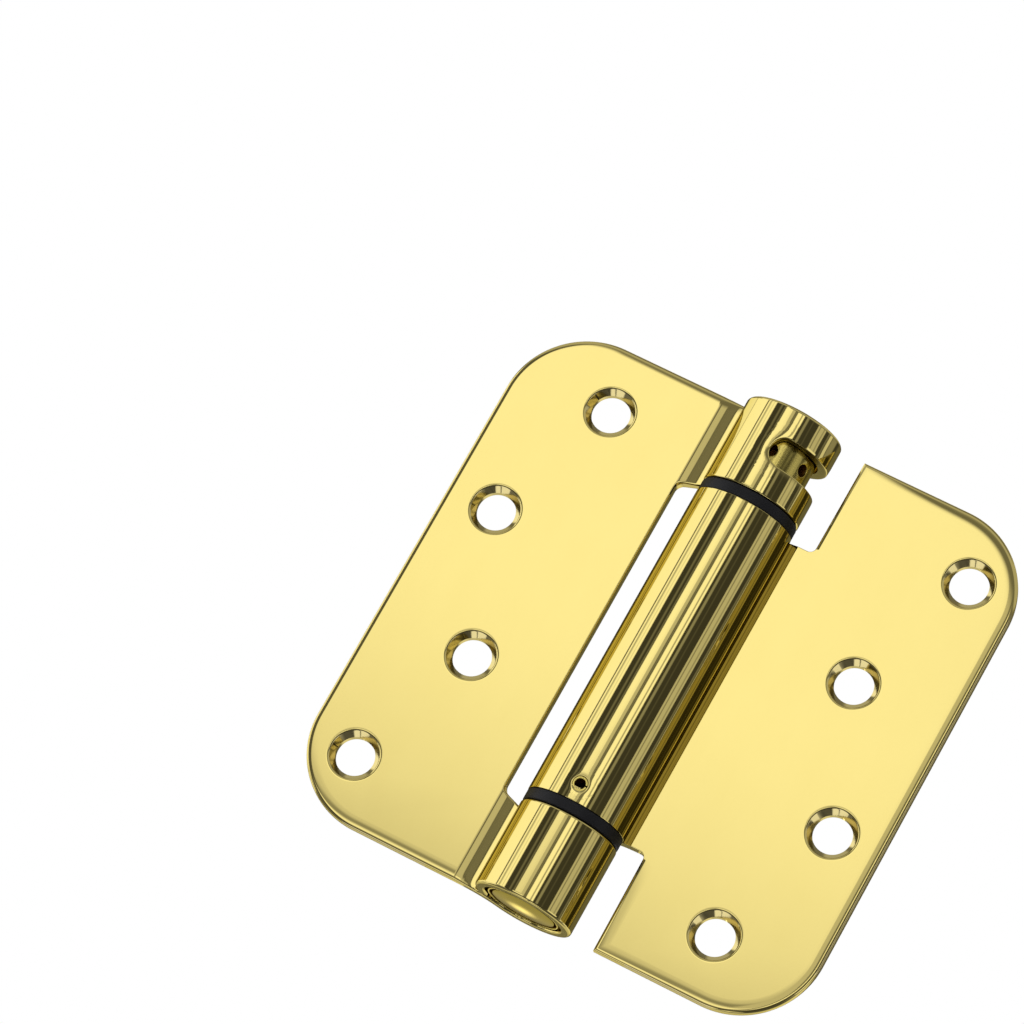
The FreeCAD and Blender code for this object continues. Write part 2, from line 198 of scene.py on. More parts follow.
def makeCutFace():
    # 1 where the sheet's cut end faces straight along the pin axis, within a radius of it; there
    # the leaf's brass is rougher and darkened with painted shade
    group, given, result = newGroup("cutFace", ["Vector", "Normal"], ["Radius"], ["Mask"])
    radius = axisDistance(group, millimetres(group, given["Vector"]))
    facing = mathNode(group, "ABSOLUTE", splitNode(group, given["Normal"])["Z"])
    flat = fadeNode(group, facing, squareness["cutStart"], squareness["cutFull"])
    near = mathNode(group, "LESS_THAN", radius, given["Radius"])
    group.links.new(timesNode(group, flat, near), result["Mask"])
    return group


def makeScrewCut():
    # 1 on the slanted walls of the screw holes, which lie inside the outline of the flat leaves
    group, given, result = newGroup("screwCut", ["Vector", "Normal"], ["Inner", "Reach"], ["Mask"])
    place = millimetres(group, given["Vector"])
    facing = mathNode(group, "ABSOLUTE", splitNode(group, given["Normal"])["Y"])
    across, up = (mathNode(group, "ABSOLUTE", place[axis]) for axis in "XZ")
    outside = mathNode(group, "GREATER_THAN", across, given["Inner"])
    inside = mathNode(group, "LESS_THAN", mathNode(group, "ADD", across, up), given["Reach"])
    slant = fadeNode(group, facing, squareness["slantStart"], squareness["slantFull"])
    group.links.new(timesNode(group, slant, inside, outside), result["Mask"])
    return group


# fine buffing lines with broad patches, and the grain of a mould
polishMarks = makeMarks("polishMarks", {"Lines": ("LineSize", 2), "Patches": ("PatchSize", 3)})
mouldGrain = makeMarks("mouldGrain", {"Grain": ("Fineness", 4)})
latheRings, hollow, cutFace, screwCut = makeLathe(), makeHollow(), makeCutFace(), makeScrewCut()


def newMaterial(name):
    material = bpy.data.materials.new(name)
    material.use_nodes = True
    tree = material.node_tree
    coords = newNode(tree, "TexCoord").outputs
    return material, tree, tree.nodes["Principled BSDF"].inputs, coords


def placed(tree, group, vector, **values):
    node = newNode(tree, "Group")
    node.node_tree = group
    sockets = [node.inputs[name] for name in ("Vector", *values)]
    feed(tree, sockets, vector, *values.values())
    return node.outputs


def roughNode(tree, marks, finish):
    return mathNode(tree, "ADD", timesNode(tree, marks, finish["uneven"]), finish["roughness"])


def coated(tree, shader, finish, colour, rough, height):
    bump = newNode(tree, "Bump", Strength=1, Distance=finish["depth"] * mm, Height=height)
    names = ("Normal", "Base Color", "Roughness", "Metallic", "Specular IOR Level", "Specular Tint")
    feed(tree, [shader[name] for name in names], bump.outputs[0], colour, rough,
         finish["metallic"], finish["specular"], (*finish["glance"], 1))


def centredOn(tree, vector, turnedPlace):
    centre = newNode(tree, "Mapping")
    centre.vector_type = "TEXTURE"
    feed(tree, centre.inputs, vector, *turnedPlace)
    return centre.outputs[0]


leafFinish = {
    "colour": (0.985, 0.815, 0.285), "worn": (0.955, 0.785, 0.265),
    "metallic": 1.0, "specular": 0.5, "glance": (0.94, 0.86, 0.5),
    "roughness": 0.035, "uneven": 0.03,
    "lines": (9.0, 9.0, 0.5), "patches": (0.16, 0.16, 0.09), "depth": 0.0012,
    # the cut ends beside the barrel are rougher, as cut metal is, and darkened with painted shade
    "cutColour": (0.27, 0.225, 0.09), "cutRoughness": 0.4, "cutRadius": 12.8,
    # the barrel's bore is darkened with painted shade
    "boreColour": (0.10, 0.075, 0.03), "boreRoughness": 0.5,
    "boreRadius": 7.3, "boreEnd": 60.0, "boreSoft": 0.25,
    "sinkColour": (0.96, 0.81, 0.37), "sinkRoughness": 0.09, "sinkInner": 20.0, "sinkReach": 87.5,
}


def leafMaterial():
    f = leafFinish
    material, tree, shader, coords = newMaterial("polishedBrass")
    place, normal = coords["Object"], coords["Normal"]
    marks = placed(tree, polishMarks, place, LineSize=f["lines"], PatchSize=f["patches"])
    bore = placed(tree, hollow, place, Radius=f["boreRadius"], Low=-f["boreEnd"],
                  High=f["boreEnd"], Soft=f["boreSoft"])["Mask"]
    cut = placed(tree, cutFace, place, Normal=normal, Radius=f["cutRadius"])["Mask"]
    sink = placed(tree, screwCut, place, Normal=normal, Inner=f["sinkInner"],
                  Reach=f["sinkReach"])["Mask"]
    colour = mixColour(tree, marks["Patches"], f["colour"], f["worn"])
    rough = roughNode(tree, marks["Lines"], f)
    # painted shade goes into the bore and onto the cut ends; the countersinks get a colour of their
    # own
    for mask, name in ((sink, "sink"), (bore, "bore"), (cut, "cut")):
        colour = mixColour(tree, mask, colour, f[name + "Colour"])
        rough = mixValue(tree, mask, rough, f[name + "Roughness"])
    coated(tree, shader, f, colour, rough, marks["Patches"])
    return material


turnedFinish = {
    "colour": (0.95, 0.785, 0.22), "dull": (0.86, 0.69, 0.17),
    "metallic": 1.0, "specular": 0.5, "glance": (0.94, 0.83, 0.45),
    "rings": 6.0, "depth": 0.00025, "openTone": 1.0, "openRoughness": 0.125,
    # the heads' copy is half as bright: painted shade on the plug and sleeves
    "headTone": 0.52, "headRoughness": 0.05,
    "paintedShadeColour": (0.3, 0.13, 0.02), "hollowRoughness": 0.6, "hollowSoft": 0.12,
}


def turnedMaterial(name, hollows, kind, turnedPlace=None):
    # hollows: radius, low and high of drilled places and grooves, darkened with painted shade
    f = turnedFinish
    # a tone below 1 darkens the whole copy of the brass: painted shade
    tone, roughness = f[kind + "Tone"], f[kind + "Roughness"]
    bright, dull = (tuple(part * tone for part in f[key]) for key in ("colour", "dull"))
    material, tree, shader, coords = newMaterial(name)
    place = coords["Object"]
    if turnedPlace:
        place = centredOn(tree, place, turnedPlace)
    rings = placed(tree, latheRings, place, Fineness=f["rings"])["Rings"]
    colour = mixColour(tree, rings, bright, dull)
    rough = timesNode(tree, mathNode(tree, "ADD", rings, 1), roughness)
    for radius, low, high in hollows:
        mask = placed(tree, hollow, place, Radius=radius, Low=low, High=high,
                      Soft=f["hollowSoft"])["Mask"]
        colour = mixColour(tree, mask, colour, f["paintedShadeColour"])
        rough = mixValue(tree, mask, rough, f["hollowRoughness"])
    coated(tree, shader, f, colour, rough, rings)
    return material


nylonFinish = {"colour": (0.0085, 0.0085, 0.0115), "second": (0.014, 0.014, 0.018),
               "roughness": 0.42, "uneven": 0.2, "fineness": (5.0, 5.0, 5.0), "depth": 0.004,
               "metallic": 0.0, "specular": 0.4, "glance": (1.0, 1.0, 1.0)}
steelFinish = {"colour": (0.50, 0.50, 0.52), "second": (0.36, 0.35, 0.35),
               "roughness": 0.28, "uneven": 0.2, "fineness": 6.0, "depth": 0.0008,
               "metallic": 1.0, "specular": 0.5, "glance": (1.0, 1.0, 1.0),
               # the bore's near-black colour is painted shade
               "boreColour": (0.01, 0.01, 0.01), "boreSoft": 0.12}
springFinish = {"colour": (0.21, 0.20, 0.20), "second": (0.10, 0.085, 0.065),
                "roughness": 0.2, "uneven": 0.35, "fineness": (0.9, 0.9, 0.9), "depth": 0.003,
                "metallic": 1.0, "specular": 0.5, "glance": (1.0, 1.0, 1.0)}


def markedMaterial(name, f, pattern, bore=None):
    # one pattern mixes two colours and roughens and lifts the surface; a bore is darkened with
    # painted shade
    material, tree, shader, coords = newMaterial(name)
    place = coords["Object"]
    marks = placed(tree, pattern, place, Fineness=f["fineness"])[0]
    colour = mixColour(tree, marks, f["colour"], f["second"])
    if bore:
        radius, end, turnedPlace = bore
        mask = placed(tree, hollow, centredOn(tree, place, turnedPlace), Radius=radius, Low=0.0,
                      High=end, Soft=f["boreSoft"])["Mask"]
        colour = mixColour(tree, mask, colour, f["boreColour"])
    coated(tree, shader, f, colour, roughNode(tree, marks, f), marks)
    return material


# Small helpers for meshes

def outwards(bm):
    bmesh.ops.recalc_face_normals(bm, faces=bm.faces)


def cornersOf(made):
    return [g for g in made["geom"] if isinstance(g, bmesh.types.BMVert)]


def newObject(bm, name, material):
    mesh = bpy.data.meshes.new(name)
    bm.to_mesh(mesh)
    bm.free()
    mesh.materials.append(material)
    made = bpy.data.objects.new(name, mesh)
    bpy.context.scene.collection.objects.link(made)
    return made


def finishPiece(bm, name, body, material, nodes, sharp=30):
    bmesh.ops.scale(bm, vec=(mm, mm, mm), verts=bm.verts)
    for edge in bm.edges:
        edge.smooth = len(edge.link_faces) == 2 and edge.calc_face_angle(0) < math.radians(sharp)
    for face in bm.faces:
        face.smooth = True
    piece = newObject(bm, name, material)
    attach(piece, body)
    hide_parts(*nodes)


# Leaves: each is cut flat from sheet, rounded, and bent round the pin

sheet = {
    "thickness": 2.4,
    "setback": 2.5,          # front face behind the pin axis
    "bendRadius": 10.0,      # inside of the swage
    "seamGap": 0.12,
    "cornerRadius": 15.875,
    "cornerSteps": 32,
    "notchSteps": 8,
    "bendStep": 3.0,         # degrees of the barrel between cuts
    "cutReach": 0.02,        # a cut this near to a corner goes through it
    "leastHalf": 0.02,       # what rounding always leaves of half the thickness
    "curlStart": -15.0,      # from here the edges change to those of the knuckles
    "curlBlend": 6.0,
}
screws = {"inner": 31.55, "outer": 41.1, "top": 38.75, "mid": 13.05, "radius": 3.6, "rim": 4.5,
          "sinkAngle": 82.0, "steps": 64, "wallFacing": 0.5, "wallReach": 0.05}
edges = {"outer": 0.78, "side": 0.5, "back": 0.85, "slot": 0.4, "notch": 0.06, "hole": 0.47,
         "window": 0.16, "windowDent": 2.3, "windowSlope": 0.18, "windowBelow": 0.25, "pin": 0.1,
         "pinDent": 0.9, "pinSlope": 0.12, "seam": 0.1, "knuckleOut": 0.6, "knuckleIn": 0.42}
# Slopes of the front face: by the distance in from the edge, with a minus, and for the
# creases pressed beside the barrel by the place across the flat blank
rollSlopes = ((-2.4, 0.0), (-2.0, 0.02), (-1.65, 0.044), (-1.2, 0.08), (-0.687, 0.12))
sideSlopes = ((-0.95, 0.0), (-0.75, 0.1), (-0.4, 0.2))
jambCrease = ((-15.0, 0.0), (-14.7, 0.0), (-14.45, 0.1), (-14.25, 0.155), (-14.05, 0.12),
              (-13.75, 0.075), (-13.5, 0.09), (-13.15, 0.125), (-12.75, 0.15), (-12.4, 0.145),
              (-12.06, 0.112), (-11.61, 0.075), (-11.2, 0.08), (-10.8, 0.07), (-10.3, 0.0))
doorCrease = ((-12.92, 0.0), (-12.62, 0.0), (-11.02, -0.158), (-10.8, 0.207), (-10.34, 0.218),
              (-10.16, 0.0))
# rings of corners beside the edges and holes, by their distance from them
insets = (0.03, 0.08, 0.15, 0.24, 0.35, 0.46, 0.57, 0.687, 0.8, 1.0, 1.2, 1.42, 1.65, 2.0, 2.4)
holeSteps = (0.04, 0.09, 0.15, 0.22, 0.3, 0.38, 0.47, 0.65, 1.0)
windowSteps = (0.04, 0.1, 0.2, 0.3, 0.45, 0.7, 1.0, 1.4, 1.9, 2.4, 2.8, 3.0)
pinSteps = (0.03, 0.07, 0.1, 0.2, 0.35, 0.55, 0.8, 1.1, 1.3, 1.5)
same = 1e-4                  # places nearer than this are one

barrelRadius = jambHigh.x
halfWidth, halfHeight = -jambLow.x, jambHigh.z
halfSheet = sheet["thickness"] / 2
cornerX = sheet["cornerRadius"] - halfWidth
cornerZ = halfHeight - sheet["cornerRadius"]
midY = sheet["setback"] + halfSheet
bendMid = sheet["bendRadius"] + halfSheet
curlMid = barrelRadius - halfSheet
bendY = midY + bendMid
between = bendMid + curlMid
bendX = math.sqrt(between ** 2 - bendY ** 2)
meet = math.atan2(bendY, -bendX)
swageLength = bendMid * (math.pi / 2 - math.atan2(bendY, bendX))
frontBend = sheet["bendRadius"] + sheet["thickness"]
closing = barrelRadius ** 2 + between ** 2 - frontBend ** 2
seam = meet + math.acos(closing / (2 * barrelRadius * between))
seam += sheet["seamGap"] / barrelRadius - 2 * math.pi


def blankX(azimuth):
    return -bendX + swageLength + curlMid * (meet - azimuth)


blankEnd, windowMiddle = blankX(seam), blankX(0)


def bend(point):
    along = point.x + bendX
    offset = point.y
    if along < 0:
        return Vector((point.x, midY + offset, point.z))
    if along < swageLength:
        turn = along / bendMid - math.pi / 2
        radius = bendMid - offset
        return Vector((-bendX + radius * math.cos(turn), bendY + radius * math.sin(turn), point.z))
    turn = meet - (along - swageLength) / curlMid
    radius = curlMid + offset
    return Vector((radius * math.cos(turn), radius * math.sin(turn), point.z))


def clamped(value):
    return min(max(value, 0), 1)


def eased(value):
    share = clamped(value)
    return share * share * (3 - 2 * share)


def roundDrop(distance, radius):
    if distance >= radius:
        return 0.0
    lean = radius - max(distance, 0)
    return radius - math.sqrt(max(radius * radius - lean * lean, 0))


def outerDistance(x, z):
    if x < cornerX and abs(z) > cornerZ:
        return sheet["cornerRadius"] - math.hypot(x - cornerX, abs(z) - cornerZ)
    return min(x + halfWidth, halfHeight - abs(z))


def outlineSkin(bm, corners):
    verts = [bm.verts.new((x, 0, z)) for x, z, radius, steps in corners]
    bm.faces.new(verts)
    for vert, (x, z, radius, steps) in zip(verts, corners):
        if radius:
            bmesh.ops.bevel(bm, geom=[vert], offset=radius, offset_type="OFFSET", segments=steps,
                            profile=0.5, affect="VERTICES", material=-1)
    inner = list(bm.faces)
    last = 0.0
    for step in insets:
        bmesh.ops.inset_region(bm, faces=inner, thickness=step - last, use_boundary=True,
                               use_even_offset=True)
        last = step
    loop = list(inner[0].edges)
    bmesh.ops.delete(bm, geom=inner, context="FACES_ONLY")
    return loop


def ringAround(bm, shape, radius, steps):
    loops = [shape(bm, radius + step) for step in (0, *steps)]
    for inner, outer in zip(loops, loops[1:]):
        for number in range(len(inner)):
            bm.faces.new((inner[number - 1], inner[number], outer[number], outer[number - 1]))
    return loops


def closedEdges(loop):
    return list({edge for vert in loop for edge in vert.link_edges
                 if edge.other_vert(vert) in loop})


def withCorners(faces):
    sides = list({e for f in faces for e in f.edges})
    return faces + sides + list({v for f in faces for v in f.verts})


def filled(bm, borders):
    bmesh.ops.triangle_fill(bm, use_beauty=True, edges=borders, normal=(0, -1, 0))


def everything(bm):
    return list(bm.verts) + list(bm.edges) + list(bm.faces)


def rotated(bm, matrix, verts):
    bmesh.ops.rotate(bm, cent=(0, 0, 0), matrix=matrix, verts=verts)


def aboutZ(turn):
    return Matrix.Rotation(turn, 3, "Z")


def disc(x, z, steps, reach=0.0, stretch=1.0):
    # a ring of corners round a place on the blank, or a long one with 'reach' to each side
    def shape(bm, radius):
        ring = bmesh.ops.create_circle(bm, radius=radius, segments=steps)["verts"]
        halfStep = math.pi / steps
        rotated(bm, upright @ aboutZ(halfStep), ring)
        for vert in ring:
            vert.co.x += math.copysign(reach, vert.co.x)
        tall = 1 / math.cos(halfStep) if reach else 1
        bmesh.ops.scale(bm, vec=(1 / stretch, 1, tall), verts=ring)
        bmesh.ops.translate(bm, vec=(x, 0, z), verts=ring)
        return ring
    return shape


def makeLeaf(name, body, node, corners, holes, extraRings, dropAt, crease, mirrored):
    bm = bmesh.new()
    borders = outlineSkin(bm, corners)
    rings = [(disc(x, z, screws["steps"]), screws["rim"], holeSteps) for x, z in holes]
    for shape, radius, steps in rings + extraRings:
        borders += closedEdges(ringAround(bm, shape, radius, steps)[-1])
    filled(bm, borders)
    outwards(bm)
    back = cornersOf(bmesh.ops.extrude_face_region(bm, geom=list(bm.faces)))
    bmesh.ops.translate(bm, vec=(0, sheet["thickness"], 0), verts=back)
    bmesh.ops.translate(bm, vec=(0, -halfSheet, 0), verts=bm.verts)
    outwards(bm)
    cutBends(bm, corners, crease)
    for vert in bm.verts:
        x, y, z = vert.co
        side = -1 if y < 0 else 1
        vert.co.y = side * (halfSheet - dropAt(x, z, side))
    sinkHoles(bm, holes)
    for vert in bm.verts:
        vert.co = bend(vert.co)
    if mirrored:
        bmesh.ops.scale(bm, vec=(-1, 1, 1), verts=bm.verts)
        bmesh.ops.reverse_faces(bm, faces=bm.faces)
    print(name, "faces", len(bm.faces))
    finishPiece(bm, name, body, polishedBrass, [node])


def cutBends(bm, corners, crease):
    end = max(x for x, z, radius, steps in corners)
    step = math.radians(sheet["bendStep"]) * curlMid
    places = [place for place, slope in crease]
    places += [(first[0] + second[0]) / 2 for first, second in zip(crease, crease[1:])]
    places += [-bendX + step * number for number in range(-1, int((end + bendX) / step) + 1)]
    for place in places:
        bmesh.ops.bisect_plane(bm, geom=everything(bm), dist=sheet["cutReach"],
                               plane_co=(place, 0, 0), plane_no=(1, 0, 0))


def sinkHoles(bm, holes):
    # below the countersink's foot the straight walls and the back's rings close in on the hole
    slope = math.tan(math.radians(screws["sinkAngle"] / 2))
    foot = rimDrop(0) + (screws["rim"] - screws["radius"]) / slope - halfSheet
    walls = [f for f in bm.faces
             if abs(f.normal.y) < screws["wallFacing"] and nearHole(f.calc_center_median(), holes)]
    bmesh.ops.bisect_plane(bm, geom=withCorners(walls), dist=same / 10, plane_co=(0, foot, 0),
                           plane_no=(0, 1, 0))
    widest = screws["rim"] + holeSteps[-1]
    for vert in bm.verts:
        if vert.co.y < foot - same:
            continue
        for x, z in holes:
            centre = Vector((x, 0, z))
            away = Vector((vert.co.x - x, 0, vert.co.z - z))
            if away.length < widest - same:
                share = (away.length - screws["rim"]) / holeSteps[-1]
                away.length = screws["radius"] + max(share, 0) * (widest - screws["radius"])
                vert.co.x, vert.co.z = (centre + away).xz


def nearHole(place, holes):
    limit = screws["rim"] + screws["wallReach"]
    return any(math.hypot(place.x - x, place.z - z) < limit for x, z in holes)


jambBlank = {"slotX": 14.25, "slotZ": 32.3, "slotCorner": 1.3, "flareX": 10.4,
             "knuckleZ": upperHigh.z + endPlay, "windowZ": 42.3, "windowHalf": 2.8,
             "windowX": 0.3, "windowCorners": 48}
doorBlank = {"notchX": 13.85, "notchReach": 0.01, "notchCorner": 1.2, "barrelZ": 31.25,
             "pinZ": -28.0, "pinTurn": -89.0, "pinRadius": 1.43, "pinCorners": 40}
outerCorner = (-halfWidth, -halfHeight, sheet["cornerRadius"], sheet["cornerSteps"])


def wholeOutline(half):
    # corners as place, height, rounding and its steps; the upper half mirrors the lower one
    return half + [(x, -z, radius, steps) for x, z, radius, steps in reversed(half)]


def jambCorners():
    b = jambBlank
    return wholeOutline([
        outerCorner, (blankEnd, -halfHeight, 0, 0), (blankEnd, -b["knuckleZ"], 0, 0),
        (-b["flareX"], -b["knuckleZ"], 0, 0),
        (-b["slotX"], -b["slotZ"], b["slotCorner"], sheet["notchSteps"])])


def doorCorners():
    b = doorBlank
    return wholeOutline([
        outerCorner, (-b["notchX"], -halfHeight, 0, 0),
        (-b["notchX"], -b["barrelZ"], b["notchCorner"], sheet["notchSteps"]),
        (blankEnd, -b["barrelZ"], 0, 0)])


windowTurn = math.acos(jambBlank["windowX"] / barrelRadius)
windowReach = barrelRadius * windowTurn - jambBlank["windowHalf"]
outerStretch = barrelRadius / curlMid
windowShape = disc(windowMiddle, jambBlank["windowZ"], jambBlank["windowCorners"], windowReach,
                   outerStretch)
windowRing = (windowShape, jambBlank["windowHalf"], windowSteps)
pinX = blankX(-math.pi - math.radians(doorBlank["pinTurn"]))
pinShape = disc(pinX, doorBlank["pinZ"], doorBlank["pinCorners"], 0.0, outerStretch)
pinRing = (pinShape, doorBlank["pinRadius"], pinSteps)


def slotDistance(x, z):
    b = jambBlank
    r = b["slotCorner"]
    rise = math.atan2(b["knuckleZ"] - b["slotZ"], b["slotX"] - b["flareX"])
    right, over = x + b["slotX"], abs(z) - b["slotZ"]
    across, along = right - r, over - r * (math.tan(rise) - 1 / math.cos(rise))
    if along <= 0:
        return -right
    if across * math.cos(rise) + along * math.sin(rise) < 0:
        return math.hypot(across, along) - r
    flare = over * math.cos(rise) - right * math.sin(rise)
    return max(flare, abs(z) - b["knuckleZ"])


def windowDistance(x, z):
    b = jambBlank
    around = abs(x - windowMiddle) * outerStretch
    return math.hypot(max(around - windowReach, 0), z - b["windowZ"]) - b["windowHalf"]


def slopesDrop(place, slopes):
    # the height lost up to a place, added up from the slopes before it
    drop = 0.0
    for (start, first), (end, second) in zip(slopes, slopes[1:]):
        reached = clamped((place - start) / (end - start))
        drop += (end - start) * (first * reached + (second - first) * reached * reached / 2)
    return drop


def rollDrop(gap, slopes, radius):
    # a slow roll of the face steepens into the rounding of the edge
    stop = -slopes[-1][0]
    drop = slopesDrop(-gap, slopes)
    if gap < stop:
        drop += roundDrop(gap, radius) - roundDrop(stop, radius)
    return drop


def outerDrop(x, z, side, crispSide):
    gap = outerDistance(x, z)
    knuckle = eased((x - sheet["curlStart"]) / sheet["curlBlend"])
    flat = roundDrop(gap, edges["back"])
    if side < 0:
        flat = rollDrop(gap, rollSlopes, edges["outer"])
        if crispSide:
            flat += (rollDrop(gap, sideSlopes, edges["side"]) - flat) * sideShare(x, z) ** 2
    curled = roundDrop(gap, edges["knuckleOut"] if side > 0 else edges["knuckleIn"])
    return flat * (1 - knuckle) + curled * knuckle


def sideShare(x, z):
    # how far the nearest edge faces sideways, 0 at top and bottom, 1 at the leaf's long side
    left, over = cornerX - x, abs(z) - cornerZ
    if left > 0 and over > 0:
        return left / math.hypot(left, over)
    return 1.0 if left > over else 0.0


def rimDrop(gap):
    # the face turns over into the countersink and meets it at the countersink's own slope
    slope = math.radians(90 - screws["sinkAngle"] / 2)
    radius = edges["hole"] / math.sin(slope)
    lean = max(edges["hole"] - max(gap, 0), 0)
    return radius - math.sqrt(radius * radius - lean * lean)


def dentDrop(gap, width, slope):
    return slope * width * clamped(1 - gap / width) ** 3 / 3


def faceDrop(drop, x, z, side, holes, crease):
    if side < 0:
        rim = min(math.hypot(x - hx, z - hz) for hx, hz in holes) - screws["rim"]
        drop = max(drop, rimDrop(rim)) + slopesDrop(x, crease)
    return min(drop, halfSheet - sheet["leastHalf"])


def jambDrop(x, z, side):
    window = windowDistance(x, z)
    drop = max(outerDrop(x, z, side, True), roundDrop(slotDistance(x, z), edges["slot"]),
               roundDrop(window, edges["window"]), roundDrop(blankEnd - x, edges["seam"]))
    # the dent is shallower below the window
    below = eased((jambBlank["windowZ"] - z) / jambBlank["windowHalf"])
    share = 1 + (edges["windowBelow"] - 1) * below
    drop += side * share * dentDrop(window, edges["windowDent"], edges["windowSlope"])
    return faceDrop(drop, x, z, side, jambHoles, jambCrease)


def notchDistance(x, z):
    b = doorBlank
    r = b["notchCorner"]
    across = x + b["notchX"] - r
    along = abs(z) - b["barrelZ"] - r
    if across < 0 and along < 0:
        return math.hypot(across, along) - r
    return max(-b["notchX"] - x, b["barrelZ"] - abs(z))


def doorDrop(x, z, side):
    b = doorBlank
    pin = math.hypot((x - pinX) * outerStretch, z - b["pinZ"]) - b["pinRadius"]
    drop = max(roundDrop(notchDistance(x, z), edges["notch"]), roundDrop(pin, edges["pin"]),
               roundDrop(blankEnd - x, edges["seam"]))
    if x < -b["notchX"] + b["notchReach"]:
        drop = max(drop, outerDrop(x, z, side, False))
    drop += side * dentDrop(pin, edges["pinDent"], edges["pinSlope"])
    return faceDrop(drop, x, z, side, doorHoles, doorCrease)


def screwHoles(first, second):
    places = [(first, "top", 1), (second, "mid", 1), (first, "mid", -1), (second, "top", -1)]
    return [(-screws[x], side * screws[z]) for x, z, side in places]


jambHoles, doorHoles = screwHoles("inner", "outer"), screwHoles("outer", "inner")
polishedBrass = leafMaterial()
makeLeaf("jambLeafSheet", "jamb", "jamb_leaf", jambCorners(), jambHoles, [windowRing], jambDrop,
         jambCrease, False)
makeLeaf("doorLeafSheet", "door", "door_leaf", doorCorners(), doorHoles, [pinRing], doorDrop,
         doorCrease, True)
print("leaves bent")

# Turned parts: profiles are radius, height and rounding from corner to corner

turned = {"steps": 96, "turn": -89.0, "cornerSteps": 4, "domeSteps": 8, "merge": 1e-3}
facing = math.radians(turned["turn"])
collar = {"hole": 1.15, "holeZ": 42.5, "holeDepth": 3.2, "holeRound": 0.12, "holeSteps": 32,
          "mouthRings": (0.3, 0.65, 1, 4),  # in parts of holeRound
          "skin": 0.01, "count": 6, "head": 6.15, "headEdge": 0.12, "dome": 0.25, "domeKept": 5,
          "hexFlats": 4.0, "hexDepth": 7.0, "hexLip": 0.02, "hexLead": 0.15, "hexReach": 0.3,
          "hexRoom": 0.1, "journal": 5.0, "journalEdge": 0.3, "journalEnd": 24.9, "nose": 3.3,
          "noseEdge": 0.2, "edge": 0.25,
          # within these the drilled holes and the hex socket are darkened with painted shade
          "darkSkin": 0.2, "darkLow": 38.0, "darkHigh": 46.0,
          "socketRadius": 2.34, "socketLow": 43.0, "socketSkin": 0.25}
plug = {"journal": 4.0, "journalEdge": 0.2}
sleeve = {"wall": 0.4, "edge": 0.12, "groove": 0.1, "grooveSkin": 0.3}
bearing = {"upperBore": 5.05, "upperSleeve": 7.05, "lowerBore": 4.05, "lowerSleeve": 5.15,
           "edge": 0.32, "boreEdge": 0.1, "seatEdge": 0.05, "tubeEdge": 0.2, "flange": 2.25}
pin = {"radius": 1.4, "bore": 0.98, "slit": 0.35, "length": 3.4, "edge": 0.1, "steps": 40,
       # the pin's bore is darkened with painted shade, darkEdge out from it and darkEnd along it
       "sunk": 0.12, "darkEdge": 0.13, "darkEnd": 9.3, "room": 0.15}


def roundedProfile(corners, closed):
    points = []
    count = len(corners)
    for number, (r, z, size) in enumerate(corners):
        here = Vector((r, z))
        if not size or (not closed and number in (0, count - 1)):
            points.append(here)
            continue
        back = (Vector(corners[number - 1][:2]) - here).normalized()
        ahead = (Vector(corners[(number + 1) % count][:2]) - here).normalized()
        half = back.angle(ahead) / 2
        cut = size / math.tan(half)
        middle = here + (back + ahead).normalized() * (size / math.sin(half))
        start = here + back * cut - middle
        sweep = math.pi - 2 * half
        if start.angle_signed(here + ahead * cut - middle) > 0:
            sweep = -sweep
        for step in range(turned["cornerSteps"] + 1):
            part = Matrix.Rotation(sweep * step / turned["cornerSteps"], 2)
            points.append(middle + part @ start)
    return points


def spun(bm, corners, closed=False, steps=turned["steps"], angle=math.tau):
    points = roundedProfile(corners, closed)
    verts = [bm.verts.new((r, 0, z)) for r, z in points]
    made = [bm.edges.new(pair) for pair in zip(verts, verts[1:])]
    if closed:
        made.append(bm.edges.new((verts[-1], verts[0])))
    rotated(bm, aboutZ(facing), verts)
    bmesh.ops.spin(bm, geom=verts + made, cent=(0, 0, 0), axis=(0, 0, 1), angle=angle, steps=steps,
                   use_merge=angle == math.tau)


def closeUp(bm):
    bmesh.ops.remove_doubles(bm, verts=bm.verts, dist=turned["merge"])
    outwards(bm)


def domed(radius, end, dome):
    ball = (radius ** 2 + dome ** 2) / (2 * dome)
    steps = turned["domeSteps"]
    places = [radius * share / steps for share in range(steps - 1, 0, -1)]
    return [(r, end - ball + math.sqrt(ball ** 2 - r ** 2), 0) for r in places]


